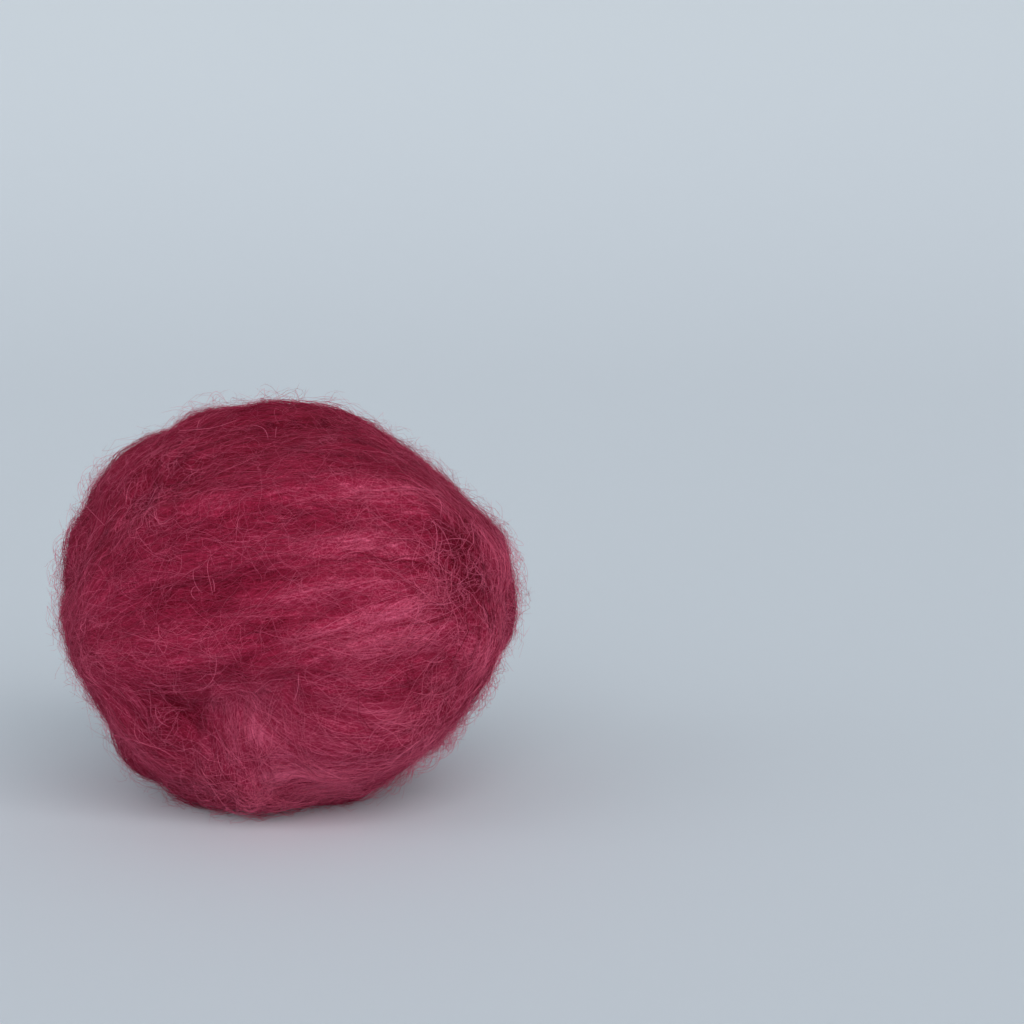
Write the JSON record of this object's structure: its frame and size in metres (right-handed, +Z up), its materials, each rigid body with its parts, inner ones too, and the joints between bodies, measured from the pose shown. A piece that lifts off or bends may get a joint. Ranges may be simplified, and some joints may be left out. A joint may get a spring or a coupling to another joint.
{
  "type": "wound ball of wool roving",
  "caption": "Hand-wound ball of dyed wool roving: flat ribbons of carded fibre lapped over each other round an oval ball with a small flat spot underneath.",
  "frame": {"origin": "on the surface the ball rests on, under the middle of its width and depth", "axes": "+X to the ball's right along its width, which is its longest side, +Y to its back, +Z up along its height, which is its shortest side"},
  "size_m": [0.089, 0.0844, 0.0781],
  "materials": {
    "wool": "matt carded wool with a soft fuzz of loose fibres"
  },
  "bodies": {
    "root": {"wound_roving": "wool"}
  },
  "joints": []
}
